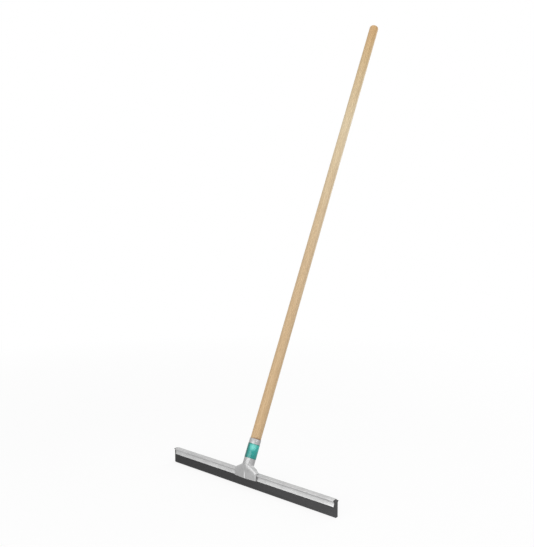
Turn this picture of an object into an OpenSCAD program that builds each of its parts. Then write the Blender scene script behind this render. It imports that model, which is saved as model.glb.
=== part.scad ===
// Floor squeegee: a rubber strip in a folded steel rail, a pressed steel socket and a round wooden handle.
// Millimetres. The origin is the middle of the strip's floor edge, +X runs along the rail to the right
// as seen from the front, -Y is the front and +Z is up. The handle leans back towards +Y.

/* [Blade] */
// Length of the rubber strip, the working width
blade_l = 552; // [350:1:750]
// Thickness of the rubber strip
blade_t = 5.5; // [4:0.5:8]
// Height of rubber that shows below the rail
blade_show = 25.5; // [15:0.5:35]
// Length of rubber that shows past each end of the rail
blade_over = 6; // [1:0.5:12]
// Radius on the strip's lower end corners
blade_corner = 3; // [0.5:0.5:6]
// Height from the rail's waist to where the strip widens into its head
head_rise = 1.6; // [1.4:0.1:2]
// Distance from the cap's widest line down to where the head reaches its full width
head_drop = 0.5; // [0.3:0.1:0.7]
// Chamfer along the top of the strip's head
head_chamfer = 0.5; // [0.25:0.25:0.75]

/* [Rail] */
// Sheet thickness of the rail
rail_sheet = 1; // [0.6:0.1:1.2]
// Front to back width of the cap
cap_w = 15; // [14:0.5:17.5]
// Radius of the cap's rolled edges, from its widest line up to its flat crown
cap_r = 2; // [1.75:0.25:4]
// Height from the waist to the cap's widest line
cove_h = 5; // [4.5:0.5:8]
// Height of the lip from its lower edge to the waist
lip_h = 9; // [6:0.5:14]
// Lean of each lip outwards at its lower edge
lip_flare = 2; // [0.5:0.25:3]

/* [Socket] */
// Angle of the handle back from upright
tilt = 26; // [15:1:35]
// Height above the rail's crown where the handle's axis crosses the rail's middle plane
axis_rise = 7; // [2:0.5:10]
// Sheet thickness of the socket's two pressings
socket_sheet = 1.2; // [0.8:0.1:1.6]
// Length of the round tube from its foot to its rim
tube_l = 68; // [62:1:90]
// Height from the rail's crown to the foot of the tube
shoulder_h = 13.5; // [10:0.5:20]
// Width of the skirt that straddles the rail
skirt_w = 75; // [60:1:120]
// Draw-in of the front panel's folds from the skirt's full width
front_draft = 1.5; // [1:0.5:8]
// Draw-in of the rear panel's folds from the skirt's full width
rear_draft = 12; // [2:1:16]
// Rise of each panel's middle crease over its folds
skirt_bow = 2.5; // [0.5:0.5:4]
// Size of the fold along each panel's edge
fold_r = 3.5; // [2:0.5:5]

/* [Handle] */
// Diameter of the wooden handle
handle_d = 28; // [22:1:32]
// Overall length of the handle
handle_l = 1400; // [900:50:1600]
// Length of the turned-down tenon inside the socket
tenon_l = 50; // [35:1:60]
// Depth of the shoulder between the handle and its tenon
tenon_step = 0.25; // [0.15:0.05:1]
// Radius that rounds the handle's free end
handle_round = 10; // [2:1:10]

/* [Fixing screw] */
// Diameter of the screw's shank
screw_d = 2.5; // [2:0.5:4]
// Length of the screw under its head
screw_l = 16; // [10:1:20]
// Diameter of the screw's pan head
screw_head_d = 4.4; // [4.2:0.2:8]
// Height of the screw's pan head
screw_head_h = 1.4; // [1:0.2:3]
// Distance of the screw below the socket's rim
screw_drop = 7; // [5:0.5:10]
// Turn of the screw around the tube, from the front to the right
screw_turn = 41; // [0:1:70]

/* [Label] */
// Height of the label along the tube
label_h = 37; // [20:1:40]
// Distance of the label below the socket's rim
label_drop = 13; // [11:0.5:20]
// Thickness of the label
label_t = 0.25; // [0.15:0.05:0.4]
// Turn that the label covers around the tube
label_wrap = 330; // [180:5:345]

/* [Fits] */
// Clearance between the strip and the rail's waist, a side
blade_clear = 0.3; // [0.2:0.05:0.5]
// Clearance between the handle's tenon and the socket's bore, on the radius
handle_clear = 0.15; // [0.1:0.05:0.4]
// Clearance around the strip's head, inside the rail's cap
head_clear = 0.6; // [0.5:0.1:0.8]
// Clearance between the skirt's panels and the rail's cap
skirt_clear = 0.55; // [0.3:0.05:2]
// Clearance between pieces that are welded, screwed or glued on and their seat
seat_clear = 0.1; // [0.05:0.05:0.2]
// Gap of the seam between the socket's two pressings
seam_gap = 0.2; // [0.1:0.1:0.4]

/* [Hidden] */
$fn = 96;

// Colours of rubber, galvanised steel, wood, plated screw and label
rubber_c = "#3a3a3c";
steel_c = "#c9cbcc";
wood_c = "#d9be97";
screw_c = "#8f9294";
label_c = "#1fa193";

// Levels of the rail's profile
lip_z = blade_show;
waist_z = lip_z + lip_h;
cap_z = waist_z + cove_h;
crown_z = cap_z + cap_r;
// Half depths of the rail's outer face at the waist, the lips and the cap
waist_y = blade_t / 2 + blade_clear + rail_sheet;
lip_y = waist_y + lip_flare;
cap_y = cap_w / 2;
// Length of the rail, and depth of the skirt's panels from its middle
rail_l = blade_l - 2 * blade_over;
skirt_d = cap_y + skirt_clear + socket_sheet;

// Places along the handle's axis are measured from where it crosses the rail's middle plane
axis_z = crown_z + axis_rise;
foot_z = crown_z + shoulder_h;
foot_s = (foot_z - axis_z) / cos(tilt);
rim_s = foot_s + tube_l;
tenon_r = handle_d / 2 - tenon_step;
tube_r = tenon_r + handle_clear + socket_sheet;

// Steps along each of the lip, the cove and the cap of the rail's profile
rail_steps = 10;
// Rows of the socket's loft down the skirt
loft_rows = 24;
// Columns of the loft across a side wall, a fold and half of a panel
wall_cols = 8;
fold_cols = 4;
panel_cols = 4;
// Turn around the tube, from its side, at which the panel's fold begins
fold_turn = 70;
// Largest share of a side wall or half panel that a fold may take
fold_share = 0.4;
// Turns of the side walls' and the panels' slight curves at the skirt
wall_turn_end = 8;
panel_turn_end = 2;
// Length by which a cut runs past the face that it opens
overrun = 5;

// Smooth step from 0 to 1, with level ends
function ease(t) = (1 - cos(180 * min(1, max(0, t)))) / 2;
// Step from 0 to 1 that starts at once and ends level
function settle(t) = 1 - pow(1 - min(1, max(0, t)), 2);
function unit(v) = v / norm(v);

// One half of the rail's outer face as [depth, height], from the lip's lower edge to the crown
function rail_half() = [
    for (i = [0 : rail_steps - 1]) let (t = i / rail_steps)
        [waist_y + lip_flare * pow(1 - t, 2), lip_z + lip_h * t],
    for (i = [0 : rail_steps - 1]) let (t = i / rail_steps)
        [waist_y + (cap_y - waist_y) * ease(t), waist_z + cove_h * t],
    for (i = [0 : rail_steps]) let (a = 90 * i / rail_steps)
        [cap_y - cap_r * (1 - cos(a)), cap_z + cap_r * sin(a)],
    [0, crown_z]
];

// Moves each point of an open half profile square to the curve, outwards for a positive distance
function shifted(pts, by) = [
    for (i = [0 : len(pts) - 1]) let (
        a = pts[max(0, i - 1)],
        b = pts[min(len(pts) - 1, i + 1)],
        d = i == len(pts) - 1 ? [-1, 0] : unit(b - a)
    ) pts[i] + by * [d[1], -d[0]]
];

// Both halves of a profile as one list, from the front lip over the crown to the rear lip
function both_halves(half) = concat(
    [for (p = half) [-p[0], p[1]]],
    [for (i = [len(half) - 2 : -1 : 0]) half[i]]
);
function reversed(list) = [for (i = [len(list) - 1 : -1 : 0]) list[i]];

// Extrudes a profile of [depth, height] points along the rail
module along_rail(length) {
    translate([-length / 2, 0, 0])
    rotate([90, 0, 90])
    linear_extrude(length) children();
}

// Places children in the handle's frame, with z along the handle
module on_axis(s = 0) {
    translate([0, 0, axis_z]) rotate([-tilt, 0, 0]) translate([0, 0, s]) children();
}

// Points children outwards from the axis at the fixing screw, starting on the axis
module at_screw() {
    on_axis(rim_s - screw_drop) rotate([90, 0, screw_turn]) children();
}

// Rubber strip: a plain blade that widens into a head, which fills the rail's cap and hangs on its waist
module blade() {
    neck_y = blade_t / 2;
    head_y = cap_y - rail_sheet - head_clear;
    top_z = crown_z - rail_sheet - head_clear;
    half = [
        [neck_y, 0],
        [neck_y, waist_z + head_rise],
        [head_y, cap_z - head_drop],
        [head_y, top_z - head_chamfer],
        [head_y - head_chamfer, top_z],
        [0, top_z]
    ];
    color(rubber_c) intersection() {
        along_rail(blade_l) polygon(both_halves(half));
        // Rounds the two lower end corners
        translate([0, cap_w, 0]) rotate([90, 0, 0]) linear_extrude(2 * cap_w)
        union() {
            corner_x = blade_l / 2 - blade_corner;
            translate([-blade_l / 2, blade_corner]) square([blade_l, crown_z]);
            translate([-corner_x, 0]) square([2 * corner_x, 2 * blade_corner]);
            for (side = [-1, 1]) translate([side * corner_x, blade_corner]) circle(blade_corner);
        }
    }
}

// Rail: one sheet folded to a flat cap with rolled edges, a waist and two flared lips
module rail() {
    outer = both_halves(rail_half());
    inner = both_halves(shifted(rail_half(), -rail_sheet));
    color(steel_c) along_rail(rail_l) polygon(concat(outer, reversed(inner)));
}

// Solid outline of the rail with a clearance, which notches the socket's skirt
module rail_notch() {
    half = shifted(rail_half(), seat_clear);
    floor_y = half[0][0];
    along_rail(2 * skirt_w) polygon(concat(
        [[-floor_y, lip_z - overrun]],
        both_halves(half),
        [[floor_y, lip_z - overrun]]
    ));
}

// The socket's loft follows a curve from the tube's foot on the handle's axis to the rail's lips.
// Its rows are 0 at the rim, 1 at the tube's foot and loft_rows + 1 at the lips.
function row_u(i) = max(0, (i - 1) / loft_rows);
function row_mid(i) = let (u = row_u(i), s = i == 0 ? rim_s : foot_s) [
    0,
    s * sin(tilt) * pow(1 - u, 2),
    (axis_z + s * cos(tilt)) * pow(1 - u, 2) + 2 * axis_z * u * (1 - u) + lip_z * u * u
];
// Unit vector up the curve
function row_up(i) = let (u = row_u(i)) unit([
    0,
    foot_s * sin(tilt) * (1 - u),
    foot_s * cos(tilt) * (1 - u) + (axis_z - lip_z) * u
]);
// Unit vector out of the seam, towards one pressing
function row_out(i, side) = let (up = row_up(i)) side * [0, up[2], -up[1]];
// Share of the way down the shoulders, from the tube's foot to the rail's crown
function row_t(i) = i == 0 ? 0 : max(0, (foot_z - row_mid(i)[2]) / shoulder_h);

// Point at share k of an arc from a to b that turns by the given angle
function arc_point(a, b, turn, k) = let (
    chord = b - a,
    side = [chord[1], -chord[0]]
) (a + b) / 2 + chord * sin(turn * (k - 0.5)) / sin(turn / 2) / 2
    + side * (cos(turn * (k - 0.5)) - cos(turn / 2)) / sin(turn / 2) / 2;

// Right half of row i as [x, depth] points, from the seam over the side wall and the fold to the crease.
// The reach of the fold and the crease is their distance from the rail's middle plane.
function half_section(i, side) = let (
    t = row_t(i),
    e = ease(t),
    w = settle(t),
    mid = row_mid(i),
    up = row_up(i),
    foot = row_mid(1),
    draft = side < 0 ? front_draft : rear_draft,
    tube_fold = tube_r * [cos(fold_turn), sin(fold_turn)],
    fold_reach = (tube_fold[1] * cos(tilt) + side * foot[1]) * (1 - w) + skirt_d * w,
    crease_reach = (tube_r * cos(tilt) + side * foot[1]) * (1 - w) + (skirt_d + skirt_bow) * w,
    seam = [tube_r * (1 - w) + skirt_w / 2 * w, 0],
    fold = i == 0 ? tube_fold : [
        tube_fold[0] * (1 - w) + (skirt_w / 2 - draft) * w,
        (fold_reach - side * mid[1]) / up[2]
    ],
    crease = i == 0 ? [0, tube_r] : [0, (crease_reach - side * mid[1]) / up[2]],
    wall_turn = fold_turn * (1 - e) + wall_turn_end * e,
    panel_turn = (90 - fold_turn) * (1 - e) + panel_turn_end * e,
    wall_end = 1 - min(fold_share, fold_r / norm(fold - seam)),
    panel_start = min(fold_share, fold_r / norm(crease - fold)),
    from = arc_point(seam, fold, wall_turn, wall_end),
    to = arc_point(fold, crease, panel_turn, panel_start),
    // On the tube the fold's curve passes through its corner, on the skirt it rounds it off
    corner = fold + (1 - e) * (fold - (from + to) / 2)
) [
    for (k = [0 : wall_cols - 1]) arc_point(seam, fold, wall_turn, wall_end * k / wall_cols),
    for (k = [0 : fold_cols - 1]) let (u = k / fold_cols)
        from * pow(1 - u, 2) + corner * 2 * u * (1 - u) + to * u * u,
    for (k = [0 : panel_cols]) let (u = panel_start + (1 - panel_start) * k / panel_cols)
        arc_point(fold, crease, panel_turn, u)
];

// Row i of the outer face, for the front pressing (side -1) or the rear one (1), from right to left
function skin_row(i, side) = let (
    half = half_section(i, side),
    last = len(half) - 1,
    out = row_out(i, side)
) [
    for (j = [0 : 2 * last]) let (p = j <= last ? half[j] : half[2 * last - j])
        row_mid(i) + [j <= last ? p[0] : -p[0], 0, 0] + (p[1] + seam_gap / 2) * out
];

// Inner face, one sheet thickness square to the outer face. Along the seam it keeps to the seam's surface.
function lining(skin, side) = let (rows = len(skin) - 1, cols = len(skin[0]) - 1) [
    for (i = [0 : rows]) [
        for (j = [0 : cols]) let (
            down = skin[min(rows, i + 1)][j] - skin[max(0, i - 1)][j],
            across = skin[i][min(cols, j + 1)] - skin[i][max(0, j - 1)],
            square = side * unit(cross(down, across)),
            out = row_out(i, side),
            edge = j == 0 || j == cols
        ) skin[i][j] - socket_sheet * (edge ? unit(square - (square * out) * out) : square)
    ]
];

// Half shell of the socket: half of the tube, its shoulders and one side of the skirt
module half_shell(side) {
    outer = [for (i = [0 : loft_rows + 1]) skin_row(i, side)];
    inner = lining(outer, side);
    rows = len(outer);
    cols = len(outer[0]);
    n = rows * cols;
    points = [for (face = [outer, inner]) for (row = face) each row];
    // Quads of the two faces and of the four edges between them
    quads = concat(
        [for (i = [0 : rows - 2]) for (j = [0 : cols - 2]) let (p = i * cols + j)
            each [[p, p + 1, p + cols + 1, p + cols], [p + n, p + n + cols, p + n + cols + 1, p + n + 1]]],
        [for (i = [0 : rows - 2]) let (p = i * cols, q = p + cols - 1)
            each [[p, p + cols, p + cols + n, p + n], [q, q + n, q + cols + n, q + cols]]],
        [for (j = [0 : cols - 2]) let (q = (rows - 1) * cols + j)
            each [[j, j + n, j + n + 1, j + 1], [q, q + 1, q + n + 1, q + n]]]
    );
    polyhedron(points, [
        for (f = quads) each side > 0
            ? [[f[0], f[1], f[3]], [f[1], f[2], f[3]]]
            : [[f[0], f[3], f[1]], [f[1], f[3], f[2]]]
    ]);
}

// Front pressing, notched for the rail and drilled for the fixing screw
module socket_front() {
    color(steel_c) difference() {
        half_shell(-1);
        rail_notch();
        at_screw() cylinder(h = 2 * tube_r, d = screw_d + 2 * seat_clear);
    }
}

// Rear pressing, notched for the rail
module socket_rear() {
    color(steel_c) difference() {
        half_shell(1);
        rail_notch();
    }
}

// Wooden handle with a tenon, a rounded free end and a pilot hole for the fixing screw
module handle() {
    r = handle_d / 2;
    tip_r = r - handle_round;
    color(wood_c) difference() {
        on_axis(rim_s - tenon_l) rotate_extrude() polygon(concat(
            [[0, 0], [tenon_r, 0], [tenon_r, tenon_l + seat_clear], [r, tenon_l + seat_clear]],
            [for (a = [0 : 7.5 : 90])
                [tip_r + handle_round * cos(a), handle_l - handle_round * (1 - sin(a))]],
            [[0, handle_l]]
        ));
        at_screw() translate([0, 0, tube_r - screw_l - screw_d])
        cylinder(h = screw_l + screw_d, d = screw_d + 2 * seat_clear);
    }
}

// Pan head wood screw that locks the handle in the socket
module handle_screw() {
    color(screw_c) at_screw() translate([0, 0, tube_r + seat_clear]) {
        rotate_extrude() polygon([
            [0, -screw_l],
            [screw_d / 2, screw_d - screw_l],
            [screw_d / 2, 0],
            [screw_head_d / 2, 0],
            for (a = [0 : 15 : 90]) [screw_head_d * cos(a), screw_head_h * (1 + sin(a))] / 2
        ]);
    }
}

// Label wrapped around the tube, open at the rear
module label() {
    color(label_c) on_axis(rim_s - label_drop - label_h)
    rotate([0, 0, 90 + (360 - label_wrap) / 2])
    rotate_extrude(angle = label_wrap) translate([tube_r + seam_gap / 2 + seat_clear, 0])
    square([label_t, label_h]);
}

blade();
rail();
socket_front();
socket_rear();
handle();
handle_screw();
label();
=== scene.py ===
"""Floor squeegee: rubber strip, folded steel rail, pressed socket and wooden handle. Metres, +Z up."""
import math

import bmesh
import bpy
from mathutils import Matrix, Vector


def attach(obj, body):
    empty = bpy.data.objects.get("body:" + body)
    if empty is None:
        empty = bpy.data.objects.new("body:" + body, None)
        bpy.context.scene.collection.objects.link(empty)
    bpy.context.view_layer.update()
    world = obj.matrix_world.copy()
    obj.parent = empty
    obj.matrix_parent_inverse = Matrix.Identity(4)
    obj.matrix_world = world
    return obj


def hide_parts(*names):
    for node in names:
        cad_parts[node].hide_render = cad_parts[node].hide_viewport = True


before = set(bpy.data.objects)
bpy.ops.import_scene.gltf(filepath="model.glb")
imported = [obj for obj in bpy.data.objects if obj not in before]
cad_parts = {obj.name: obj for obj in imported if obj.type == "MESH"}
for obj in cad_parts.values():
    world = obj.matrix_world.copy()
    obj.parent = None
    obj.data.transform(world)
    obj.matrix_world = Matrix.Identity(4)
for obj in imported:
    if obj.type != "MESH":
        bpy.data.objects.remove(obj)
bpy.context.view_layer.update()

MM = 0.001

# Sizes of the real pieces, the same as in the solids unless a comment says otherwise

# Rubber strip: a plain blade below the rail's lips, and a head inside the rail's cap
BLADE_L = 552 * MM
BLADE_T = 5.5 * MM
BLADE_SHOW = 25.5 * MM
BLADE_CORNER = 3 * MM
BLADE_CLEAR = 0.3 * MM
# The head starts to widen so far above the rail's waist, and is full so far below the cap's level
HEAD_RISE = 1.6 * MM
HEAD_DROP = 0.5 * MM
HEAD_CHAMFER = 0.5 * MM
HEAD_CLEAR = 0.6 * MM

# Rail: a cap over two coves, a pinched waist and flared lips
RAIL_L = 540 * MM
RAIL_SHEET = 1 * MM
CAP_W = 15 * MM
CAP_R = 2 * MM
COVE_H = 5 * MM
LIP_H = 9 * MM
LIP_FLARE = 2 * MM

# Socket: two pressings, each half a leaning tube that widens over shoulders into an upright skirt
TILT = math.radians(26)
SOCKET_SHEET = 1.2 * MM
TUBE_L = 68 * MM
# Height above the rail's crown at which the handle's axis meets the strip's plane
AXIS_RISE = 7 * MM
SHOULDER_H = 13.5 * MM
SKIRT_W = 75 * MM
SKIRT_D = 9.25 * MM
SKIRT_BOW = 2.5 * MM
SEAM_GAP = 0.2 * MM
FOLD_R = 3.5 * MM
# Most of a wall or panel that a fold takes up
FOLD_SHARE = 0.4
# Turn round the tube from the seam to the fold, and how far walls and panels still curve in the skirt
FOLD_TURN = math.radians(70)
WALL_TURN_END = math.radians(8)
PANEL_TURN_END = math.radians(2)
# Draft of the skirt's side walls, for the front (-1) and rear (1) pressings
DRAFT = {-1: 1.5 * MM, 1: 12 * MM}
# Reach up the tube of the rounding at its foot, where the solids have a sharp fold
FOOT_RISE = 3 * MM

# Handle: a stick and its tenon
HANDLE_R = 14 * MM
HANDLE_L = 1400 * MM
HANDLE_CLEAR = 0.15 * MM
TENON_L = 50 * MM
TENON_STEP = 0.25 * MM
# The free end is finished blunter than its solid, which is rounded by 10 mm
HANDLE_ROUND = 7 * MM

# Fixing screw, at the front right of the tube
SCREW_D = 2.5 * MM
SCREW_L = 16 * MM
SCREW_HEAD_D = 4.4 * MM
SCREW_HEAD_H = 1.4 * MM
# Its place below the tube's rim, and its turn from the front
SCREW_DROP = 7 * MM
SCREW_TURN = math.radians(41)
# Width of its tip, as a share of the shank's
SCREW_POINT = 0.05
# Its cross recess, which the solid hasn't, as shares of the head's radius
RECESS_L = 1.25
RECESS_W = 0.28

# Label round the tube, below its rim
LABEL_H = 37 * MM
LABEL_DROP = 13 * MM
LABEL_T = 0.25 * MM
LABEL_WRAP = math.radians(330)

# Gap where one piece sits on another
SEAT = 0.1 * MM

# Levels, half depths and distances along the handle's axis that follow from these sizes
LIP_Z = BLADE_SHOW
WAIST_Z = LIP_Z + LIP_H
CAP_Z = WAIST_Z + COVE_H
CROWN_Z = CAP_Z + CAP_R
WAIST_Y = BLADE_T / 2 + BLADE_CLEAR + RAIL_SHEET
CAP_Y = CAP_W / 2
AXIS_Z = CROWN_Z + AXIS_RISE
FOOT_Z = CROWN_Z + SHOULDER_H
FOOT_S = (FOOT_Z - AXIS_Z) / math.cos(TILT)
RIM_S = FOOT_S + TUBE_L
SHOULDER_S = RIM_S + SEAT
TENON_R = HANDLE_R - TENON_STEP
TUBE_R = TENON_R + HANDLE_CLEAR + SOCKET_SHEET

# Fineness of the meshes: faces round a piece, steps along a curve, cuts along a length
ROUND_FACES = 96
SCREW_FACES = 32
CROWN_STEPS = 3
CURVE_STEPS = 18
CORNER_STEPS = 6
HANDLE_END_STEPS = 10
HANDLE_CUTS = 27
RAIL_CUTS = 17
BLADE_CUTS = 23
WALL_COLS = 16
FOLD_COLS = 8
PANEL_COLS = 10
TUBE_ROWS = 8
SKIRT_ROWS = 56
FOOT_ROWS = 16

# Small bevels, and the angles from which an edge gets one
SHEET_EDGE = 0.3 * MM
RUBBER_EDGE = 0.35 * MM
LABEL_EDGE = 0.08 * MM
SHEET_BEVEL_FROM = math.radians(60)
RUBBER_BEVEL_FROM = math.radians(30)

# Faces that meet at less than this angle are shaded smooth
SMOOTH_BELOW = math.radians(35)

# Points closer than this are merged
SLIVER = 0.015 * MM

# Least cosine at which an edge or a normal counts as lying along an axis
ALONG = 0.99

# Place beside the object that points, edges and faces are sorted from
SORT_FROM = (0.37, -0.61, 0.23)

# Painted highlight along the folds over the shoulders: its strength, and the shares of the way down the
# skirt from which it is full, fades and has ended
FOLD_HIGHLIGHT = 0.28
HIGHLIGHT_FULL = 0.12
HIGHLIGHT_FADES = 0.45
HIGHLIGHT_ENDS = 0.85


def on_axis(s):
    """Point at distance s along the handle's axis."""
    return Vector((0, s * math.sin(TILT), AXIS_Z + s * math.cos(TILT)))


def at_screw(s):
    """Place at distance s out from the handle's axis along the fixing screw, with Z outwards."""
    return (Matrix.Translation(on_axis(RIM_S - SCREW_DROP)) @ Matrix.Rotation(-TILT, 4, "X")
            @ Matrix.Rotation(SCREW_TURN, 4, "Z") @ Matrix.Rotation(math.pi / 2, 4, "X")
            @ Matrix.Translation((0, 0, s)))


def ease(t):
    """Smooth step from 0 to 1, with level ends."""
    return (1 - math.cos(math.pi * min(1, max(0, t)))) / 2


def settle(t):
    """Step from 0 to 1 that starts at once and ends level."""
    return 1 - (1 - min(1, max(0, t))) ** 2


def arc_point(a, b, turn, k):
    """Point at share k of an arc from a to b that turns by the given angle."""
    chord = b - a
    side = Vector((chord.y, -chord.x))
    size = 2 * math.sin(turn / 2)
    swing = turn * (k - 0.5)
    rise = (math.cos(swing) - math.cos(turn / 2)) / size
    return (a + b) / 2 + chord * (math.sin(swing) / size) + side * rise


# Modelling helpers

def deselect():
    """Clears the selection, because an operator acts on all that is selected."""
    bpy.ops.object.select_all(action="DESELECT")


def edit(piece):
    """Opens one piece, and no other, in edit mode."""
    deselect()
    piece.select_set(True)
    bpy.context.view_layer.objects.active = piece
    bpy.ops.object.mode_set(mode="EDIT")


def close_edit():
    """Leaves edit mode with the points, edges and faces sorted by their distance from one place, because
    bevels and insets leave them in an order that varies."""
    bpy.ops.mesh.select_all(action="SELECT")
    cursor = bpy.context.scene.cursor
    cursor.location = SORT_FROM
    bpy.ops.mesh.sort_elements(type="CURSOR_DISTANCE", elements={"VERT", "EDGE", "FACE"})
    cursor.location = (0, 0, 0)
    bpy.ops.object.mode_set(mode="OBJECT")


def named(name):
    """The object that was just added, under its own name."""
    piece = bpy.context.active_object
    piece.name = piece.data.name = name
    return piece


def pick(kind, test):
    """Selects, in edit mode, just those faces or edges that pass a test of their middle and their normal
    or direction."""
    bpy.ops.mesh.select_mode(type=kind)
    bpy.ops.mesh.select_all(action="DESELECT")
    mesh = bpy.context.edit_object.data
    shape = bmesh.from_edit_mesh(mesh)
    for part in shape.faces if kind == "FACE" else shape.edges:
        if kind == "FACE":
            chosen = test(part.calc_center_median(), part.normal)
        else:
            a, b = (v.co for v in part.verts)
            chosen = test((a + b) / 2, (b - a).normalized())
        part.select_set(bool(chosen))
    bmesh.update_edit_mesh(mesh)


def draw_out(move, grow=(1, 1, 1)):
    """Extrudes the selected faces by a move, then scales the new end about its middle."""
    bpy.ops.mesh.extrude_region_move(TRANSFORM_OT_translate={"value": move})
    bpy.ops.transform.resize(value=grow)


def modifier(piece, kind, **settings):
    """Adds a modifier with its settings and applies it."""
    m = piece.modifiers.new(kind.title(), kind)
    for key, value in settings.items():
        setattr(m, key, value)
    bpy.context.view_layer.objects.active = piece
    bpy.ops.object.modifier_apply(modifier=m.name)


def bevel_edges(piece, width, steps, sharp):
    """Bevels the edges at which faces turn by more than the given angle."""
    modifier(piece, "BEVEL", width=width, segments=steps, limit_method="ANGLE", angle_limit=sharp)


def face_out(piece, test, way):
    """Turns a shell's faces over if those that pass the test look against the given way."""
    facing = sum(f.normal.dot(way) for f in piece.data.polygons if test(f.center))
    if facing < 0:
        edit(piece)
        bpy.ops.mesh.select_all(action="SELECT")
        bpy.ops.mesh.flip_normals()
        bpy.ops.object.mode_set(mode="OBJECT")


def merge_slivers(piece):
    """Merges points that bevels and cuts have left too close, and the faces that collapse with them."""
    edit(piece)
    bpy.ops.mesh.select_all(action="SELECT")
    bpy.ops.mesh.remove_doubles(threshold=SLIVER)
    bpy.ops.mesh.dissolve_degenerate(threshold=SLIVER)
    bpy.ops.object.mode_set(mode="OBJECT")


def cut_out(piece, *tools):
    """Cuts each tool's volume out of a piece."""
    for tool in tools:
        modifier(piece, "BOOLEAN", object=tool, operation="DIFFERENCE", solver="EXACT")
    merge_slivers(piece)


def done(piece, body, material, node):
    """Settles a finished piece: its place in its mesh, smooth faces, finish, body and CAD node."""
    deselect()
    piece.select_set(True)
    bpy.context.view_layer.objects.active = piece
    bpy.ops.object.transform_apply(location=True, rotation=True, scale=True)
    bpy.ops.object.shade_smooth_by_angle(angle=SMOOTH_BELOW)
    piece.data.materials.clear()
    piece.data.materials.append(material)
    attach(piece, body)
    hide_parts(node)


# Material helpers

def linear(hex_colour):
    """Linear RGBA of an sRGB hex colour."""
    parts = [int(hex_colour[i:i + 2], 16) / 255 for i in (1, 3, 5)]
    return (*(c / 12.92 if c <= 0.04045 else ((c + 0.055) / 1.055) ** 2.4 for c in parts), 1)


def add(tree, kind, inputs=None, stops=(), **settings):
    """Adds a node with its settings. An input is a value, or a (node, output) pair that is linked to it.
    Stops are the (place, hex colour) pairs of a colour ramp."""
    n = tree.nodes.new("ShaderNode" + kind)
    for key, value in settings.items():
        setattr(n, key, value)
    for i, (place, colour) in enumerate(stops):
        marks = n.color_ramp.elements
        mark = marks[i] if i < len(marks) else marks.new(place)
        mark.position, mark.color = place, linear(colour)
    for key, value in (inputs or {}).items():
        if isinstance(value, tuple) and isinstance(value[0], bpy.types.Node):
            tree.links.new(value[0].outputs[value[1]], n.inputs[key])
        else:
            n.inputs[key].default_value = value
    return n


def new_material(name):
    """An empty material and its node tree."""
    m = bpy.data.materials.new(name)
    m.use_nodes = True
    m.node_tree.nodes.clear()
    return m, m.node_tree


# Materials

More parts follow.
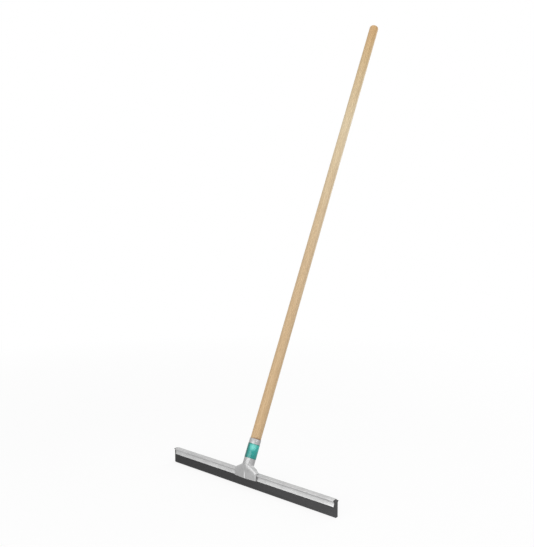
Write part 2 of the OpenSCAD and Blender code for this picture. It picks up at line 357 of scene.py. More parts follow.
def beech_wood():
    """Turned and sanded beech: long pale grain, darker year rings, short flecks and a satin surface."""
    m, t = new_material("beech_wood_sanded")
    place = add(t, "TexCoord")
    # Turns the grain to run along the handle
    turn = add(t, "Mapping", {"Vector": (place, "Object"), "Rotation": (TILT, 0, 0),
                              "Location": (0, AXIS_Z * math.sin(TILT), -AXIS_Z * math.cos(TILT))})
    axes = add(t, "SeparateXYZ", {"Vector": (turn, "Vector")})
    # Palest in the upper half of the stick, browner where hands and the wet socket have worked on it
    along = add(t, "MapRange", {"Value": (axes, "Z"), "From Min": RIM_S,
                                "From Max": RIM_S + HANDLE_L - TENON_L})
    base = add(t, "ValToRGB", {"Fac": (along, "Result")},
               stops=[(0.06, "#c5aa84"), (0.38, "#c9b290"), (0.72, "#d5c6a7"), (0.9, "#c8b086"),
                      (1.0, "#c3a06f")])
    # Year rings 3 mm apart round a pith 49 mm from the handle's axis, drawn out along it.
    # A wave node makes 20 / tau rings to each unit of its coordinates
    rings_at = add(t, "Mapping", {"Vector": (turn, "Vector"), "Location": (45 * MM, 20 * MM, 0),
                                  "Scale": (1, 1, 0.02)})
    rings = add(t, "TexWave", {"Vector": (rings_at, "Vector"), "Scale": math.tau / 20 / (3 * MM),
                               "Distortion": 5.0, "Detail": 3.0, "Detail Scale": 1.4},
                wave_type="RINGS", rings_direction="Z")
    ring_tone = add(t, "ValToRGB", {"Fac": (rings, "Fac")}, stops=[(0.0, "#ffffff"), (1.0, "#d9bd97")])
    ringed = add(t, "MixRGB", {"Fac": 0.2, "Color1": (base, "Color"), "Color2": (ring_tone, "Color")},
                 blend_type="MULTIPLY")
    # Fibres about 1 mm wide and 60 mm long
    fibres_at = add(t, "Mapping", {"Vector": (turn, "Vector"), "Scale": (1, 1, 1 / 60)})
    fibres = add(t, "TexNoise", {"Vector": (fibres_at, "Vector"), "Scale": 1 / (1 * MM), "Detail": 4.0})
    fibre_tone = add(t, "ValToRGB", {"Fac": (fibres, "Fac")},
                     stops=[(0.3, "#dcc6a8"), (0.65, "#ffffff")])
    grained = add(t, "MixRGB", {"Fac": 0.5, "Color1": (ringed, "Color"),
                                "Color2": (fibre_tone, "Color")}, blend_type="MULTIPLY")
    # Flecks about 0.7 mm wide and 5 mm long
    flecks_at = add(t, "Mapping", {"Vector": (turn, "Vector"), "Scale": (1, 1, 1 / 7)})
    flecks = add(t, "TexVoronoi", {"Vector": (flecks_at, "Vector"), "Scale": 1 / (1.6 * MM)})
    fleck = add(t, "MapRange", {"Value": (flecks, "Distance"), "From Min": 0.16, "From Max": 0.24,
                                "To Min": 0.3, "To Max": 0.0})
    flecked = add(t, "MixRGB", {"Fac": (fleck, "Result"), "Color1": (grained, "Color"),
                                "Color2": linear("#a8804f")})
    # Painted shade, dark brown, about 3 mm high along the socket's rim, strongest at the right
    low = add(t, "MapRange", {"Value": (axes, "Z"), "From Min": RIM_S + 1.2 * MM,
                              "From Max": RIM_S + 4.2 * MM, "To Min": 1.0, "To Max": 0.0})
    right = add(t, "MapRange", {"Value": (axes, "X"), "From Min": -2 * MM, "From Max": 8 * MM,
                                "To Max": 0.85})
    rim_painted_shade = add(t, "Math", {0: (low, "Result"), 1: (right, "Result")}, operation="MULTIPLY")
    rim_shaded = add(t, "MixRGB", {"Fac": (rim_painted_shade, "Value"), "Color1": (flecked, "Color"),
                                "Color2": linear("#6e4a36")})
    rough = add(t, "MapRange", {"Value": (fibres, "Fac"), "To Min": 0.62, "To Max": 0.48})
    bump = add(t, "Bump", {"Height": (fibres, "Fac"), "Strength": 0.25, "Distance": 0.1 * MM})
    shader = add(t, "BsdfPrincipled", {"Base Color": (rim_shaded, "Color"), "Roughness": (rough, "Result"),
                                       "IOR": 1.5, "Normal": (bump, "Normal")})
    add(t, "OutputMaterial", {"Surface": (shader, "BSDF")})
    return m


def galvanised_steel(name, tones, dullness):
    """Hot-dip zinc on thin sheet: satin grey metal with a faint spangle, fine rolling lines, worn lower
    edges, painted highlights along the creases and folds, and painted shade in the corner at the right
    wall.
    Tones are dark, middle and light greys, dullness is the least and the most roughness."""
    m, t = new_material(name)
    place = add(t, "TexCoord")
    axes = add(t, "SeparateXYZ", {"Vector": (place, "Object")})
    # Spangle crystals about 7 mm across, with bent borders
    warp = add(t, "TexNoise", {"Vector": (place, "Object"), "Scale": 1 / (5 * MM), "Detail": 2.0})
    shifted = add(t, "VectorMath", {0: (warp, "Color"), "Scale": 2.5 * MM}, operation="SCALE")
    bent = add(t, "VectorMath", {0: (place, "Object"), 1: (shifted, "Vector")}, operation="ADD")
    spangle = add(t, "TexVoronoi", {"Vector": (bent, "Vector"), "Scale": 1 / (7 * MM)})
    shade = add(t, "RGBToBW", {"Color": (spangle, "Color")})
    base = add(t, "ValToRGB", {"Fac": (shade, "Val")}, stops=list(zip((0.1, 0.5, 0.9), tones)))
    # Cloudy dulling over about 45 mm
    cloud = add(t, "TexNoise", {"Vector": (place, "Object"), "Scale": 1 / (45 * MM), "Detail": 3.0})
    cloud_tone = add(t, "ValToRGB", {"Fac": (cloud, "Fac")},
                     stops=[(0.35, "#d4d4d4"), (0.65, "#ffffff")])
    dulled = add(t, "MixRGB", {"Fac": 0.25, "Color1": (base, "Color"), "Color2": (cloud_tone, "Color")},
                 blend_type="MULTIPLY")
    # Painted highlight down the creases in the middle of the skirts, 2.4 mm wide and up to the rail's
    # crown
    middle = add(t, "Math", {0: (axes, "X")}, operation="ABSOLUTE")
    ridge = add(t, "MapRange", {"Value": (middle, "Value"), "From Min": 0.7 * MM, "From Max": 1.7 * MM,
                                "To Min": 1.0, "To Max": 0.0})
    below = add(t, "MapRange", {"Value": (axes, "Z"), "From Min": 37 * MM, "From Max": 45 * MM,
                                "To Min": 1.0, "To Max": 0.0})
    crease = add(t, "Math", {0: (ridge, "Result"), 1: (below, "Result")}, operation="MULTIPLY")
    # Painted highlights also along the pressings' folds over the shoulders, where their mesh says so
    fold_highlights = add(t, "Attribute", attribute_name="fold_wear")
    ridge_highlights = add(t, "Math", {0: (crease, "Value"), 1: (fold_highlights, "Fac")}, operation="MAXIMUM")
    # The lowest millimetre of the lips and skirts is worn bright too, here more and there less
    edge = add(t, "MapRange", {"Value": (axes, "Z"), "From Min": LIP_Z + 0.4 * MM,
                               "From Max": LIP_Z + 1.4 * MM, "To Min": 0.9, "To Max": 0.0})
    worn_edge = add(t, "Math", {0: (edge, "Result"), 1: (warp, "Fac")}, operation="MULTIPLY")
    edge_wear_and_highlights = add(t, "Math", {0: (ridge_highlights, "Value"), 1: (worn_edge, "Value")}, operation="MAXIMUM")
    bright = add(t, "MixRGB", {"Fac": (edge_wear_and_highlights, "Value"), "Color1": (dulled, "Color"),
                               "Color2": linear("#e2e2e2")})
    # Painted shade in the corner between the skirts' right wall and the rail
    wall = add(t, "MapRange", {"Value": (axes, "X"), "From Min": SKIRT_W / 2 - 1.2 * MM,
                               "From Max": SKIRT_W / 2 - 0.2 * MM})
    beyond = add(t, "MapRange", {"Value": (axes, "X"), "From Min": SKIRT_W / 2 + 0.3 * MM,
                                 "From Max": SKIRT_W / 2 + 2.5 * MM, "To Min": 1.0, "To Max": 0.0})
    foot = add(t, "MapRange", {"Value": (axes, "Z"), "From Min": CAP_Z, "From Max": CROWN_Z + 2 * MM,
                               "To Min": 0.75, "To Max": 0.0})
    corner = add(t, "Math", {0: (wall, "Result"), 1: (beyond, "Result")}, operation="MULTIPLY")
    corner_shade = add(t, "Math", {0: (corner, "Value"), 1: (foot, "Result")}, operation="MULTIPLY")
    corner_shaded = add(t, "MixRGB", {"Fac": (corner_shade, "Value"), "Color1": (bright, "Color"),
                               "Color2": linear("#5d5d5d")})
    # Rolling lines 1 mm apart and 80 mm long
    rolled_at = add(t, "Mapping", {"Vector": (place, "Object"), "Scale": (1 / 80, 1, 1)})
    rolled = add(t, "TexNoise", {"Vector": (rolled_at, "Vector"), "Scale": 1 / (1 * MM), "Detail": 3.0})
    rough = add(t, "MapRange", {"Value": (shade, "Val"), "To Min": dullness[0], "To Max": dullness[1]})
    bump = add(t, "Bump", {"Height": (rolled, "Fac"), "Strength": 0.1, "Distance": 0.05 * MM})
    shader = add(t, "BsdfPrincipled", {"Base Color": (corner_shaded, "Color"), "Metallic": 1.0,
                                       "Roughness": (rough, "Result"), "Normal": (bump, "Normal")})
    add(t, "OutputMaterial", {"Surface": (shader, "BSDF")})
    return m


def black_rubber():
    """Solid extruded rubber: matt charcoal, faint draw lines, dusty bloom, a scuffed floor edge, and
    painted light that makes it lighter towards the right end.
    """
    m, t = new_material("extruded_black_rubber")
    place = add(t, "TexCoord")
    axes = add(t, "SeparateXYZ", {"Vector": (place, "Object")})
    # Dusty bloom in patches of about 35 mm
    bloom = add(t, "TexNoise", {"Vector": (place, "Object"), "Scale": 1 / (35 * MM), "Detail": 4.0})
    dusty = add(t, "ValToRGB", {"Fac": (bloom, "Fac")}, stops=[(0.3, "#c8c8c8"), (0.7, "#ffffff")])
    # Painted light: the strip is darker at its left end and lighter towards its right end
    along = add(t, "MapRange", {"Value": (axes, "X"), "From Min": -BLADE_L / 2, "From Max": BLADE_L / 2})
    painted_light_ramp = add(t, "ValToRGB", {"Fac": (along, "Result")},
               stops=[(0.0, "#1b1b1c"), (0.5, "#2e2e2f"), (1.0, "#434344")])
    base = add(t, "MixRGB", {"Fac": 0.6, "Color1": (painted_light_ramp, "Color"), "Color2": (dusty, "Color")},
               blend_type="MULTIPLY")
    # Draw lines 1.5 mm apart along the strip
    lines_at = add(t, "Mapping", {"Vector": (place, "Object"), "Scale": (1 / 120, 1, 1)})
    lines = add(t, "TexNoise", {"Vector": (lines_at, "Vector"), "Scale": 1 / (1.5 * MM), "Detail": 3.0})
    line_tone = add(t, "ValToRGB", {"Fac": (lines, "Fac")}, stops=[(0.3, "#b8b8b8"), (0.7, "#ffffff")])
    lined = add(t, "MixRGB", {"Fac": 0.5, "Color1": (base, "Color"), "Color2": (line_tone, "Color")},
                blend_type="MULTIPLY")
    # Scuffs in the lowest 3 mm, broken up by grit 0.8 mm across
    grit = add(t, "TexNoise", {"Vector": (place, "Object"), "Scale": 1 / (0.8 * MM), "Detail": 2.0})
    low = add(t, "MapRange", {"Value": (axes, "Z"), "From Max": 3 * MM, "To Min": 1.0, "To Max": 0.0})
    wear_and_fold_highlight = add(t, "Math", {0: (low, "Result"), 1: (grit, "Fac")}, operation="MULTIPLY")
    scuffed = add(t, "MixRGB", {"Fac": (wear_and_fold_highlight, "Value"), "Color1": (lined, "Color"),
                                "Color2": linear("#565657")})
    rough = add(t, "MapRange", {"Value": (bloom, "Fac"), "To Min": 0.7, "To Max": 0.86})
    bump = add(t, "Bump", {"Height": (lines, "Fac"), "Strength": 0.5, "Distance": 0.1 * MM})
    shader = add(t, "BsdfPrincipled", {"Base Color": (scuffed, "Color"), "Roughness": (rough, "Result"),
                                       "IOR": 1.52, "Normal": (bump, "Normal")})
    add(t, "OutputMaterial", {"Surface": (shader, "BSDF")})
    return m


def label_film():
    """Gloss printed film: plain teal with dark borders, a pale field and painted shade at the front
    left.
    """
    m, t = new_material("gloss_printed_label_film")
    place = add(t, "TexCoord")
    # Turns the print upright, with its lower border at zero
    turned = Matrix.Rotation(TILT, 3, "X") @ on_axis(RIM_S - LABEL_DROP - LABEL_H)
    turn = add(t, "Mapping", {"Vector": (place, "Object"), "Rotation": (TILT, 0, 0),
                              "Location": -turned})
    axes = add(t, "SeparateXYZ", {"Vector": (turn, "Vector")})
    up = add(t, "MapRange", {"Value": (axes, "Z"), "From Max": LABEL_H})
    bands = add(t, "ValToRGB", {"Fac": (up, "Result")},
                stops=[(0.0, "#0c7770"), (0.06, "#108a82"), (0.4, "#16948c"), (0.65, "#25a39b"),
                       (0.93, "#2aa99e"), (0.97, "#12756c")])
    # Pale field in the upper half, about 14 mm wide and 37 degrees right of the front
    side = add(t, "VectorMath", {0: (turn, "Vector"), 1: (TUBE_R * 0.6, -TUBE_R * 0.8, LABEL_H * 0.78)},
               operation="DISTANCE")
    field = add(t, "MapRange", {"Value": (side, "Value"), "From Min": 3 * MM, "From Max": 11 * MM,
                                "To Min": 0.7, "To Max": 0.0})
    paler = add(t, "MixRGB", {"Fac": (field, "Result"), "Color1": (bands, "Color"),
                              "Color2": linear("#86ddd3")})
    # Painted shade: a darker band at the front left of the tube
    left = add(t, "MapRange", {"Value": (axes, "X"), "From Min": -0.35 * TUBE_R,
                               "From Max": 0.15 * TUBE_R, "To Min": 0.9, "To Max": 0.0})
    front = add(t, "MapRange", {"Value": (axes, "Y"), "From Min": -0.55 * TUBE_R,
                                "From Max": -0.1 * TUBE_R, "To Min": 1.0, "To Max": 0.0})
    front_left_shade = add(t, "Math", {0: (left, "Result"), 1: (front, "Result")}, operation="MULTIPLY")
    shaded = add(t, "MixRGB", {"Fac": (front_left_shade, "Value"), "Color1": (paler, "Color"),
                               "Color2": linear("#07564f")})
    # Printing grain 1.2 mm across, coarser than the real one so that it shows
    grain = add(t, "TexNoise", {"Vector": (place, "Object"), "Scale": 1 / (1.2 * MM), "Detail": 2.0})
    grain_tone = add(t, "ValToRGB", {"Fac": (grain, "Fac")}, stops=[(0.3, "#a8a8a8"), (0.7, "#ffffff")])
    inked = add(t, "MixRGB", {"Fac": 0.2, "Color1": (shaded, "Color"), "Color2": (grain_tone, "Color")},
                blend_type="MULTIPLY")
    rough = add(t, "MapRange", {"Value": (grain, "Fac"), "To Min": 0.24, "To Max": 0.38})
    shader = add(t, "BsdfPrincipled", {"Base Color": (inked, "Color"), "Roughness": (rough, "Result"),
                                       "IOR": 1.5})
    add(t, "OutputMaterial", {"Surface": (shader, "BSDF")})
    return m


def plated_screw_steel():
    """Zinc-plated screw steel that has dulled: grey satin metal with a fine mottle."""
    m, t = new_material("dulled_plated_steel")
    place = add(t, "TexCoord")
    # Mottle 0.6 mm across
    mottle = add(t, "TexNoise", {"Vector": (place, "Object"), "Scale": 1 / (0.6 * MM), "Detail": 3.0})
    base = add(t, "ValToRGB", {"Fac": (mottle, "Fac")}, stops=[(0.3, "#a4a4a4"), (0.7, "#b8b8b8")])
    rough = add(t, "MapRange", {"Value": (mottle, "Fac"), "To Min": 0.4, "To Max": 0.55})
    shader = add(t, "BsdfPrincipled", {"Base Color": (base, "Color"), "Metallic": 1.0,
                                       "Roughness": (rough, "Result")})
    add(t, "OutputMaterial", {"Surface": (shader, "BSDF")})
    return m


# Rubber strip

def rubber_strip(rubber):
    """Plain blade with rounded lower corners that widens into a head, which fills the rail's cap."""
    neck = WAIST_Z + HEAD_RISE
    full = CAP_Z - HEAD_DROP
    top = CROWN_Z - RAIL_SHEET - HEAD_CLEAR
    head_w = 2 * (CAP_Y - RAIL_SHEET - HEAD_CLEAR)
    deselect()
    bpy.ops.mesh.primitive_cube_add(size=1)
    piece = named("rubber_strip")
    edit(piece)
    bpy.ops.transform.resize(value=(BLADE_L, BLADE_T, neck))
    bpy.ops.transform.translate(value=(0, 0, neck / 2))
    pick("FACE", lambda c, n: n.z > ALONG)
    draw_out((0, 0, full - neck), (1, head_w / BLADE_T, 1))
    draw_out((0, 0, top - HEAD_CHAMFER - full))
    draw_out((0, 0, HEAD_CHAMFER), (1, 1 - 2 * HEAD_CHAMFER / head_w, 1))
    pick("EDGE", lambda c, d: abs(d.y) > ALONG and c.z < MM)
    bpy.ops.mesh.bevel(offset=BLADE_CORNER, segments=CORNER_STEPS, profile=0.5)
    close_edit()
    bevel_edges(piece, RUBBER_EDGE, 3, RUBBER_BEVEL_FROM)
    merge_slivers(piece)
    edit(piece)
    pick("EDGE", lambda c, d: abs(d.x) > ALONG and abs(c.x) < MM)
    bpy.ops.mesh.subdivide(number_cuts=BLADE_CUTS)
    bpy.ops.object.mode_set(mode="OBJECT")
    done(piece, "strip", rubber, "blade")


# Rail

def rail_profile():
    """Half of the rail's outer face as (depth, height), from the crown to the lip."""
    flat = CAP_Y - CAP_R
    shares = [i / CURVE_STEPS for i in range(CURVE_STEPS)]
    crown = [(flat * i / CROWN_STEPS, CROWN_Z) for i in range(CROWN_STEPS)]
    cap = [(flat + CAP_R * math.cos(a), CAP_Z + CAP_R * math.sin(a))
           for a in (math.pi / 2 * (1 - k) for k in shares)]
    cove = [(WAIST_Y + (CAP_Y - WAIST_Y) * ease(1 - k), CAP_Z - COVE_H * k) for k in shares]
    lip = [(WAIST_Y + LIP_FLARE * k ** 2, WAIST_Z - LIP_H * k) for k in shares + [1]]
    return crown + cap + cove + lip


def folded_rail(steel):
    """One sheet folded over the strip: drawn out edge by edge from crown to front lip, then mirrored."""
    points = rail_profile()
    deselect()
    bpy.ops.mesh.primitive_plane_add(size=1)
    piece = named("folded_rail")
    edit(piece)
    first_y = points[1][0]
    bpy.ops.transform.resize(value=(RAIL_L, first_y, 1))
    bpy.ops.transform.translate(value=(0, -first_y / 2, CROWN_Z))
    pick("EDGE", lambda c, d: c.y < -0.9 * first_y)
    for (ya, za), (yb, zb) in zip(points[1:], points[2:]):
        bpy.ops.mesh.extrude_edges_move(TRANSFORM_OT_translate={"value": (0, ya - yb, zb - za)})
    pick("EDGE", lambda c, d: abs(d.x) > ALONG)
    bpy.ops.mesh.subdivide(number_cuts=RAIL_CUTS)
    bpy.ops.mesh.select_all(action="SELECT")
    bpy.ops.mesh.normals_make_consistent(inside=False)
    bpy.ops.object.mode_set(mode="OBJECT")
    modifier(piece, "MIRROR", use_axis=(False, True, False), merge_threshold=0.01 * MM)
    face_out(piece, lambda c: c.z > CROWN_Z - 0.2 * MM, Vector((0, 0, 1)))
    modifier(piece, "SOLIDIFY", thickness=RAIL_SHEET, offset=-1)
    bevel_edges(piece, SHEET_EDGE, 2, SHEET_BEVEL_FROM)
    done(piece, "frame", steel, "rail")


# Tools that cut the pressings and the handle

def rail_filler():
    """The rail's outline as one solid block, larger by the seat, that notches the pressings."""
    outline = [(y + SEAT, z + SEAT * (z > CAP_Z)) for y, z in reversed(rail_profile()[CROWN_STEPS:])]
    foot_y, foot_z = outline[0]
    deselect()
    bpy.ops.mesh.primitive_cube_add(size=1)
    piece = named("rail_filler")
    edit(piece)
    bpy.ops.transform.resize(value=(1.2 * SKIRT_W, 2 * foot_y, LIP_H))
    bpy.ops.transform.translate(value=(0, 0, foot_z - LIP_H / 2))
    pick("FACE", lambda c, n: n.z > ALONG)
    for (ya, za), (yb, zb) in zip(outline, outline[1:]):
        draw_out((0, 0, zb - za), (1, yb / ya, 1))
    bpy.ops.object.mode_set(mode="OBJECT")
    return piece


def shank_drill():
    """The fixing screw's hole as one solid bar, through the front pressing and into the tenon."""
    depth = SCREW_L + SCREW_D
    deselect()
    bpy.ops.mesh.primitive_cylinder_add(vertices=SCREW_FACES, radius=SCREW_D / 2 + SEAT,
                                        depth=depth + SCREW_HEAD_H)
    piece = named("shank_drill")
    piece.matrix_world = at_screw(TUBE_R + (SCREW_HEAD_H - depth) / 2)
    return piece


# Socket

def row_frame(row, side):
    """Middle of one row of a pressing, and its ways up along the seam and out from it."""
    foot = on_axis(FOOT_S)
    if row < TUBE_ROWS:
        mid, u = on_axis(RIM_S + (FOOT_S - RIM_S) * row / TUBE_ROWS), 0
    else:
        u = (row - TUBE_ROWS) / SKIRT_ROWS
        k = 1 - u
        mid = Vector((0, foot.y * k * k, foot.z * k * k + 2 * AXIS_Z * u * k + LIP_Z * u * u))
    rise = (foot.z - AXIS_Z) * (1 - u) + (AXIS_Z - LIP_Z) * u
    up = Vector((0, foot.y * (1 - u), rise)).normalized()
    return mid, up, side * Vector((0, up.z, -up.y))


def pressing_row(row, side):
    """Points of one row of a pressing, from its right edge over both folds to its left edge."""
    foot = on_axis(FOOT_S)
    mid, up, out = row_frame(row, side)
    t = max(0, (FOOT_Z - mid.z) / SHOULDER_H)
    # How far the curves have eased, and the outline has settled, from the tube to the skirt
    e, w = ease(t), settle(t)
    tube_fold = TUBE_R * Vector((math.cos(FOLD_TURN), math.sin(FOLD_TURN)))
    seam = Vector((TUBE_R * (1 - w) + SKIRT_W / 2 * w, 0))
    if t == 0:
        fold, crease = tube_fold, Vector((0, TUBE_R))
    else:
        fold_reach = (tube_fold.y * math.cos(TILT) + side * foot.y) * (1 - w) + SKIRT_D * w
        crease_reach = (TUBE_R * math.cos(TILT) + side * foot.y) * (1 - w) + (SKIRT_D + SKIRT_BOW) * w
        fold = Vector((tube_fold.x * (1 - w) + (SKIRT_W / 2 - DRAFT[side]) * w,
                       (fold_reach - side * mid.y) / up.z))
        crease = Vector((0, (crease_reach - side * mid.y) / up.z))
    wall_turn = FOLD_TURN * (1 - e) + WALL_TURN_END * e
    panel_turn = (math.pi / 2 - FOLD_TURN) * (1 - e) + PANEL_TURN_END * e
    wall_end = 1 - min(FOLD_SHARE, FOLD_R / (fold - seam).length)
    panel_start = min(FOLD_SHARE, FOLD_R / (crease - fold).length)
    start = arc_point(seam, fold, wall_turn, wall_end)
    end = arc_point(fold, crease, panel_turn, panel_start)
    # On the tube the fold's curve passes through its corner, on the skirt it rounds it off
    corner = fold + (fold - (start + end) / 2) * (1 - e)

    def placed(p):
        return mid + Vector((p.x, 0, 0)) + (p.y + SEAM_GAP / 2) * out

    half = [arc_point(seam, fold, wall_turn, wall_end * i / WALL_COLS) for i in range(WALL_COLS)]
    for i in range(FOLD_COLS):
        v = i / FOLD_COLS
        half.append(start * (1 - v) ** 2 + corner * 2 * v * (1 - v) + end * v * v)
    for i in range(PANEL_COLS + 1):
        k = panel_start + (1 - panel_start) * i / PANEL_COLS
        half.append(arc_point(fold, crease, panel_turn, k))
    left = [Vector((-p.x, p.y)) for p in reversed(half[:-1])]
    return [placed(p) for p in half + left]


def foot_rounded(shape, row, side):
    """One row's points or frame. Near the tube's foot the rows lie on a curve that rounds the fold."""
    first, last = TUBE_ROWS - 1, TUBE_ROWS + FOOT_ROWS
    if not first <= row < last:
        return shape(row, side)
    v = (row - first) / (last - first)
    above = shape(TUBE_ROWS * (1 - FOOT_RISE / TUBE_L), side)
    at_foot, below = shape(TUBE_ROWS, side), shape(last, side)
    return [a * (1 - v) ** 2 + b * 2 * v * (1 - v) + c * v * v for a, b, c in zip(above, at_foot, below)]


def socket_pressing(name, side, node, steel, *tools):
    """One half of the socket: a sheet drawn from half a tube into a skirt, notched for the rail."""
    rows, cols = TUBE_ROWS + SKIRT_ROWS, 2 * (WALL_COLS + FOLD_COLS + PANEL_COLS)
    deselect()
    bpy.ops.mesh.primitive_grid_add(x_subdivisions=cols, y_subdivisions=rows, size=1)
    piece = named(name)
    # Draws each point of the flat sheet to its place on the pressed form
    form = [foot_rounded(pressing_row, i, side) for i in range(rows + 1)]
    # Share of painted highlight at each point, along the folds over the shoulders
    wear_and_fold_highlight = piece.data.attributes.new("fold_wear", "FLOAT", "POINT")
    row_of = []
    for v in piece.data.vertices:
        row, col = round((0.5 - v.co.y) * rows), round((v.co.x + 0.5) * cols)
        v.co = form[row][col]
        row_of.append(row)
        # Columns away from the middle of the nearer fold, and share of the way down from the tube's foot
        aside = abs(min(col, cols - col) - WALL_COLS - FOLD_COLS / 2)
        down = (row - TUBE_ROWS) / SKIRT_ROWS
        across = 1 - ease(aside / FOLD_COLS)
        faded = ease((down - HIGHLIGHT_FADES) / (HIGHLIGHT_ENDS - HIGHLIGHT_FADES))
        wear_and_fold_highlight.data[v.index].value = FOLD_HIGHLIGHT * across * ease(down / HIGHLIGHT_FULL) * (1 - faded)
    face_out(piece, lambda c: abs(c.x) < 5 * MM, Vector((0, side, 0)))
    modifier(piece, "SOLIDIFY", thickness=SOCKET_SHEET, offset=-1)
    # Its inner face, whose points come after the outer ones, is trimmed at the seam
    for row, v in zip(row_of, piece.data.vertices[len(row_of):]):
        mid, up, out = foot_rounded(row_frame, row, side)
        v.co += max(0, SEAM_GAP / 2 - (v.co - mid).dot(out)) * out
    bevel_edges(piece, SHEET_EDGE, 2, SHEET_BEVEL_FROM)
    cut_out(piece, *tools)
    done(piece, "frame", steel, node)


# Handle, screw and label

def wooden_handle(wood, *tools):
    """Round stick with a rounded free end and a tenon that goes down into the socket."""
    length = HANDLE_L - TENON_L - SEAT
    deselect()
    bpy.ops.mesh.primitive_cylinder_add(vertices=ROUND_FACES, radius=HANDLE_R, depth=length)
    piece = named("wooden_handle")
    edit(piece)
    pick("EDGE", lambda c, d: abs(d.z) > ALONG)
    bpy.ops.mesh.subdivide(number_cuts=HANDLE_CUTS)
    pick("EDGE", lambda c, d: c.z > length / 2 - MM)
    bpy.ops.mesh.bevel(offset=HANDLE_ROUND, segments=HANDLE_END_STEPS, profile=0.5)
    pick("FACE", lambda c, n: n.z < -ALONG)
    bpy.ops.mesh.inset(thickness=TENON_STEP)
    draw_out((0, 0, -TENON_L - SEAT))
    close_edit()
    piece.rotation_euler = (-TILT, 0, 0)
    piece.location = on_axis(SHOULDER_S + length / 2)
    cut_out(piece, *tools)
    done(piece, "frame", wood, "handle")


def fixing_screw(screw_steel):
    """Pan head wood screw with a cross recess and a plain shank."""
    r = SCREW_HEAD_D / 2
    deselect()
    bpy.ops.mesh.primitive_cylinder_add(vertices=SCREW_FACES, radius=r, depth=SCREW_HEAD_H / 2)
    piece = named("fixing_screw")
    edit(piece)
    bpy.ops.transform.translate(value=(0, 0, SCREW_HEAD_H / 4))
    # Domed upper half of the head
    pick("FACE", lambda c, n: n.z > ALONG)
    angles = [math.radians(a) for a in (0, 25, 45, 60, 72)]
    for a, b in zip(angles, angles[1:]):
        grow = math.cos(b) / math.cos(a)
        draw_out((0, 0, SCREW_HEAD_H / 2 * (math.sin(b) - math.sin(a))), (grow, grow, 1))
    # Shank and its point
    pick("FACE", lambda c, n: n.z < -ALONG)
    bpy.ops.mesh.inset(thickness=r - SCREW_D / 2)
    draw_out((0, 0, SCREW_D - SCREW_L))
    draw_out((0, 0, -SCREW_D), (SCREW_POINT, SCREW_POINT, 1))
    close_edit()
    # Cross recess, cut by two bars
    for turn in (0, math.pi / 2):
        deselect()
        bpy.ops.mesh.primitive_cube_add(size=1, location=(0, 0, SCREW_HEAD_H), rotation=(0, 0, turn),
                                        scale=(RECESS_L * r, RECESS_W * r, SCREW_HEAD_H))
        bar = named("recess_bar")
        cut_out(piece, bar)
        bpy.data.objects.remove(bar)
    piece.matrix_world = at_screw(TUBE_R + SEAT)
    done(piece, "frame", screw_steel, "handle_screw")


def wrapped_label(film):
    """Film wrapped round the tube, open at the back."""
    half_gap = (2 * math.pi - LABEL_WRAP) / 2
    deselect()
    bpy.ops.mesh.primitive_cylinder_add(vertices=ROUND_FACES, radius=TUBE_R + SEAM_GAP / 2 + SEAT,
                                        depth=LABEL_H, end_fill_type="NOTHING")
    piece = named("wrapped_label")
    edit(piece)
    pick("FACE", lambda c, n: abs(math.atan2(c.x, c.y)) < half_gap)
    bpy.ops.mesh.delete(type="FACE")
    bpy.ops.object.mode_set(mode="OBJECT")
    modifier(piece, "SOLIDIFY", thickness=LABEL_T, offset=1)
    bevel_edges(piece, LABEL_EDGE, 2, SHEET_BEVEL_FROM)
    piece.rotation_euler = (-TILT, 0, 0)
    piece.location = on_axis(RIM_S - LABEL_DROP - LABEL_H / 2)
    done(piece, "frame", film, "label")


# The pieces, made in turn

bright_sheet = galvanised_steel("galvanised_steel_rolled_sheet", ("#b7b7b7", "#bbbbbb", "#c0c0c0"),
                                (0.54, 0.62))
dull_sheet = galvanised_steel("galvanised_steel_pressing", ("#a7a7a7", "#aaaaaa", "#adadad"),
                              (0.47, 0.55))
rubber_strip(black_rubber())
folded_rail(bright_sheet)
filler, drill = rail_filler(), shank_drill()
socket_pressing("socket_front_pressing", -1, "socket_front", dull_sheet, filler, drill)
socket_pressing("socket_rear_pressing", 1, "socket_rear", dull_sheet, filler)
wooden_handle(beech_wood(), drill)
for tool in (filler, drill):
    bpy.data.objects.remove(tool)
fixing_screw(plated_screw_steel())
wrapped_label(label_film())


# Stage, light and camera

def white_for_eye(tree):
    """1 where a ray comes from the eye, a gloss or a clear body, so that these see plain white."""
    path = add(tree, "LightPath")
    both = add(tree, "Math", {0: (path, "Is Camera Ray"), 1: (path, "Is Glossy Ray")},
               operation="MAXIMUM")
    return add(tree, "Math", {0: (both, "Value"), 1: (path, "Is Transmission Ray")},
               operation="MAXIMUM")


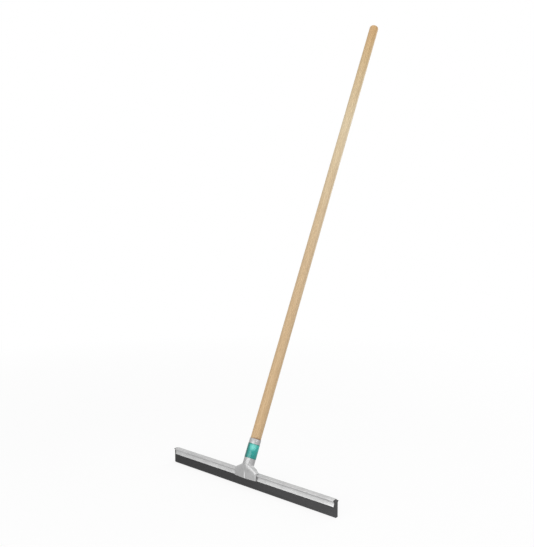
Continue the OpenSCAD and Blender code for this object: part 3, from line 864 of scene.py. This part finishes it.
def pale_floor():
    """Pale paper that keeps a little of the object's shadow near it, and is plain white further off."""
    deselect()
    bpy.ops.mesh.primitive_plane_add(size=24)
    floor = named("floor")
    m, t = new_material("white_studio_floor")
    place = add(t, "TexCoord")
    away = add(t, "VectorMath", {0: (place, "Object")}, operation="LENGTH")
    glow = add(t, "MapRange", {"Value": (away, "Value"), "From Min": 0.8, "From Max": 2.5,
                               "To Min": 0.88, "To Max": 1.0})
    share = add(t, "Math", {0: (glow, "Result"), 1: (white_for_eye(t), "Value")}, operation="MULTIPLY")
    paper = add(t, "BsdfDiffuse", {"Color": linear("#f4f4f4")})
    white = add(t, "Emission", {"Color": (1, 1, 1, 1), "Strength": 1.0})
    mixed = add(t, "MixShader", {0: (share, "Value"), 1: (paper, "BSDF"), 2: (white, "Emission")})
    add(t, "OutputMaterial", {"Surface": (mixed, "Shader")})
    floor.data.materials.append(m)


def studio_world():
    """Surroundings that look plain white, and light the object at a lower level."""
    world = bpy.data.worlds.new("white_studio")
    bpy.context.scene.world = world
    world.use_nodes = True
    t = world.node_tree
    t.nodes.clear()
    level = add(t, "MapRange", {"Value": (white_for_eye(t), "Value"), "To Min": 0.42, "To Max": 1.0})
    sky = add(t, "Background", {"Color": (1, 1, 1, 1), "Strength": (level, "Result")})
    add(t, "OutputWorld", {"Surface": (sky, "Background")})


def softbox(name, place, target, size, power):
    """Wide soft lamp that looks at a target, with its size in metres and its power in watts."""
    deselect()
    bpy.ops.object.light_add(type="AREA", location=place)
    lamp = named(name)
    lamp.data.shape = "RECTANGLE"
    lamp.data.size, lamp.data.size_y = size
    lamp.data.energy = power
    lamp.visible_camera = False
    lamp.rotation_euler = (Vector(target) - Vector(place)).to_track_quat("-Z", "Y").to_euler()


pale_floor()
studio_world()
softbox("front_softbox", (0.4, -2.5, 0.6), (0, 0, 0.1), (2.6, 1.2), 35)
softbox("left_softbox", (-0.5, -2.4, 1.7), (0, 0.1, 0.4), (1.8, 1.8), 7)
softbox("right_softbox", (2.4, 0.2, 1.5), (0, 0.1, 0.3), (1.0, 1.0), 16)
softbox("top_softbox", (0, 0.4, 3.0), (0, 0.2, 0), (2.0, 2.0), 23)
softbox("rear_softbox", (0.6, 3.0, 1.2), (0, 0.2, 0.5), (2.0, 2.0), 24)

# Camera, fitted to the photograph's edges
camera = bpy.data.cameras.new("camera")
eye = bpy.data.objects.new("camera", camera)
bpy.context.scene.collection.objects.link(eye)
bpy.context.scene.camera = eye
eye.location = (1.0192, -1.1385, 0.6362)
eye.rotation_euler = (math.radians(86.842), 0, math.radians(39.926))
camera.sensor_width = 36
camera.lens = 39.666
camera.clip_start, camera.clip_end = 0.05, 60

bpy.context.scene.view_settings.view_transform = "Standard"
